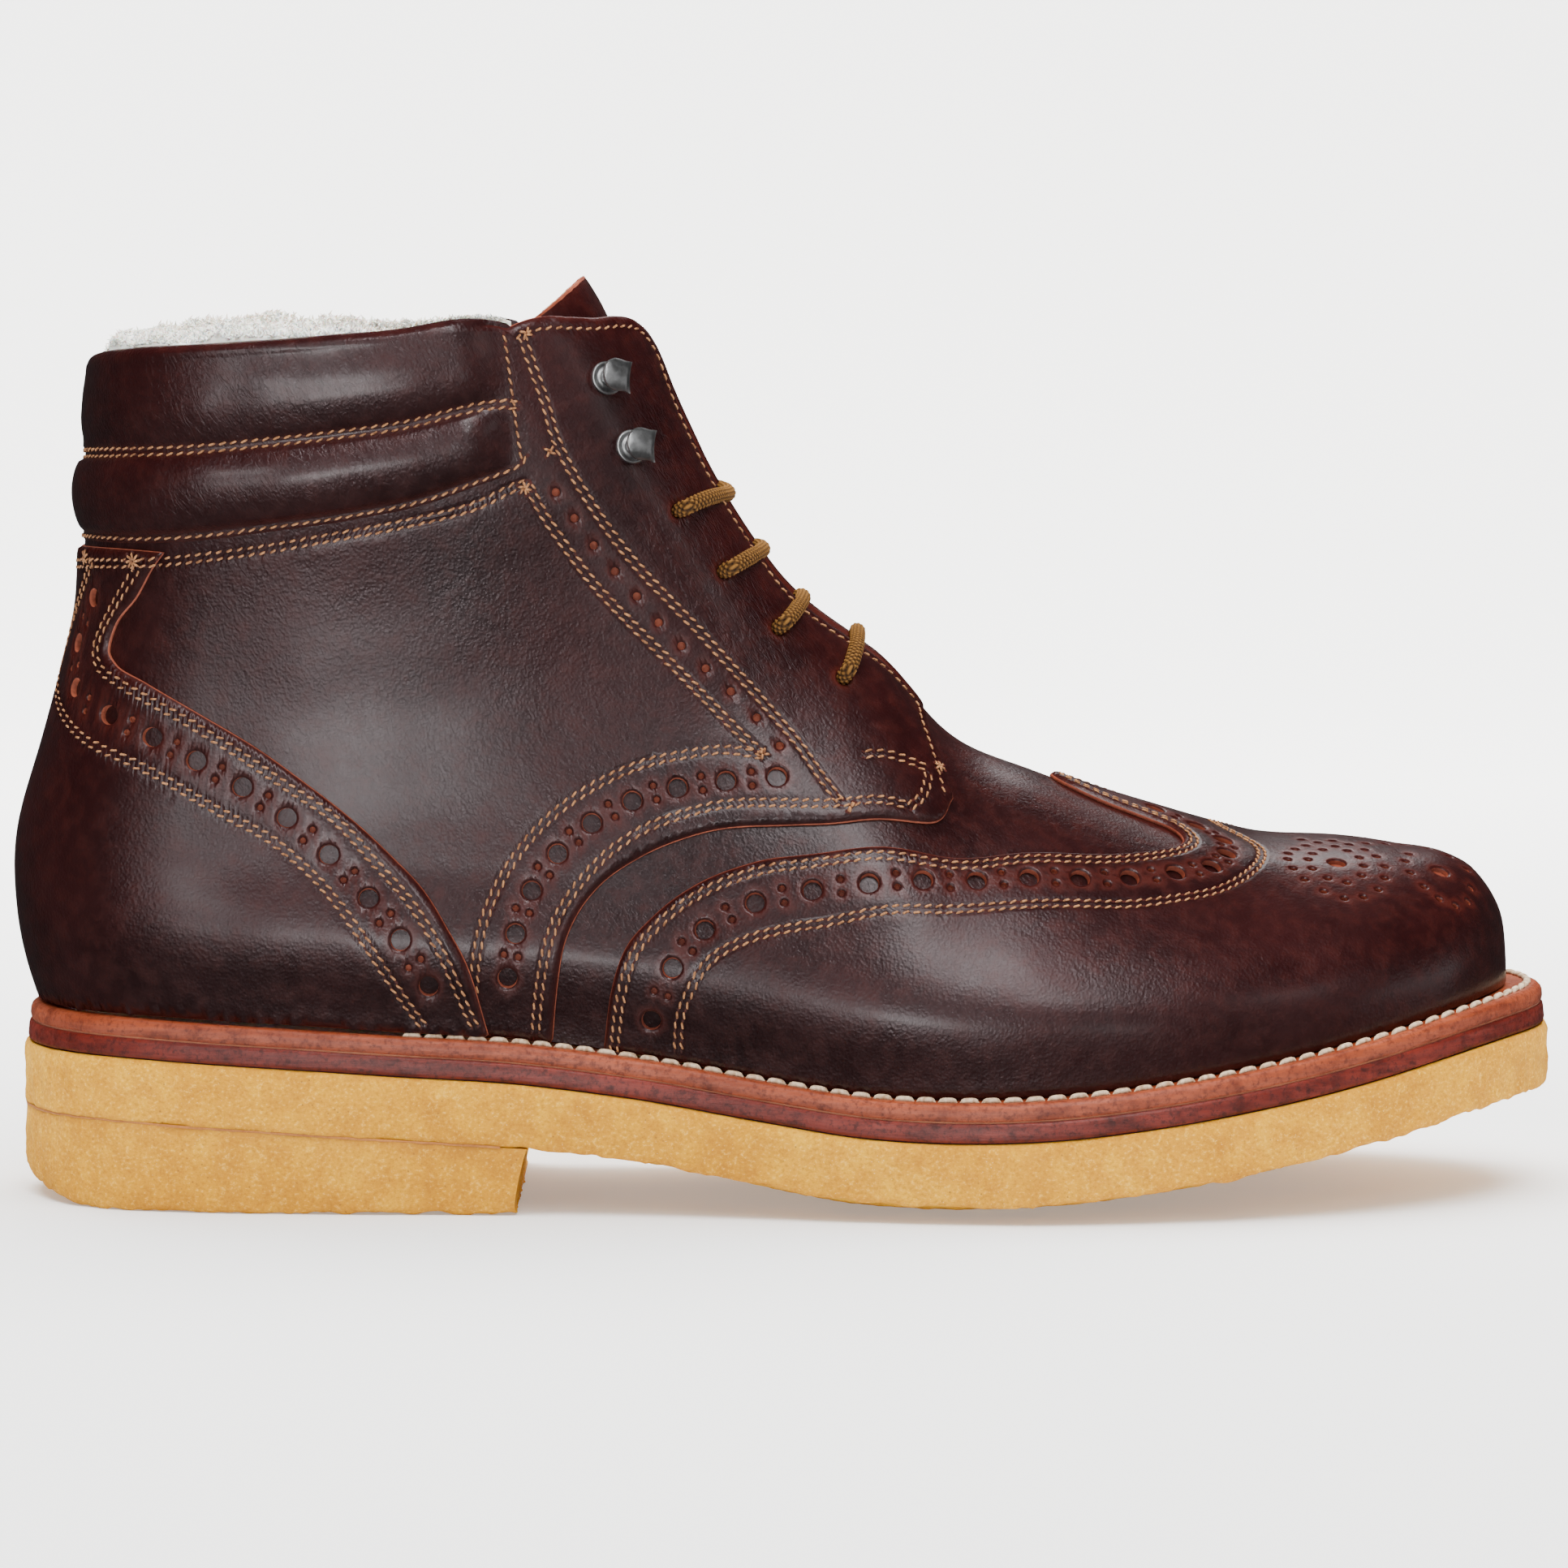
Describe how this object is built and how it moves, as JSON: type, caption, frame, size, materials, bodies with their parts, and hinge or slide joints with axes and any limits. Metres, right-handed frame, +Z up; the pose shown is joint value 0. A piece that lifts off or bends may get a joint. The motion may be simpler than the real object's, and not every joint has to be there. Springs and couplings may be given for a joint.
{
  "type": "lace-up ankle boot",
  "caption": "Right wing-tip ankle boot with a hollow leather upper, padded collar, tongue, laces and speed hooks on a leather welt, crepe sole and heel.",
  "frame": {"origin": "middle of the boot's bounding box in plan, at the floor", "axes": "+X from the heel to the toe, +Y to the medial side, +Z up; the outer side of this right boot faces -Y"},
  "size_m": [0.3134, 0.115, 0.1852],
  "materials": {
    "upper_leather": "dark burgundy-brown pull-up leather, semi-gloss, fine grain",
    "collar_leather": "dark burgundy-brown leather over foam padding, soft sheen",
    "welt_leather": "vegetable-tanned strip, satin, light thread",
    "midsole_leather": "reddish-brown edge, satin",
    "crepe": "amber natural crepe rubber, matt, pitted and speckled",
    "shearling": "cream wool pile",
    "lace_cord": "round braided waxed lace, golden brown",
    "hook_metal": "antique dark nickel, worn bright on the edges"
  },
  "bodies": {
    "root": {"outsole": "crepe", "heel": "crepe", "midsole": "midsole_leather", "welt": "welt_leather", "insole": "shearling", "upper": "upper_leather", "wing_tip": "upper_leather", "quarter_lateral": "upper_leather", "quarter_medial": "upper_leather", "heel_counter": "upper_leather", "collar": "collar_leather", "tongue": "upper_leather", "lace_bar_1": "lace_cord", "lace_bar_2": "lace_cord", "lace_bar_3": "lace_cord", "lace_bar_4": "lace_cord", "hook_lateral_1": "hook_metal", "hook_lateral_2": "hook_metal", "hook_medial_1": "hook_metal", "hook_medial_2": "hook_metal"}
  },
  "joints": []
}
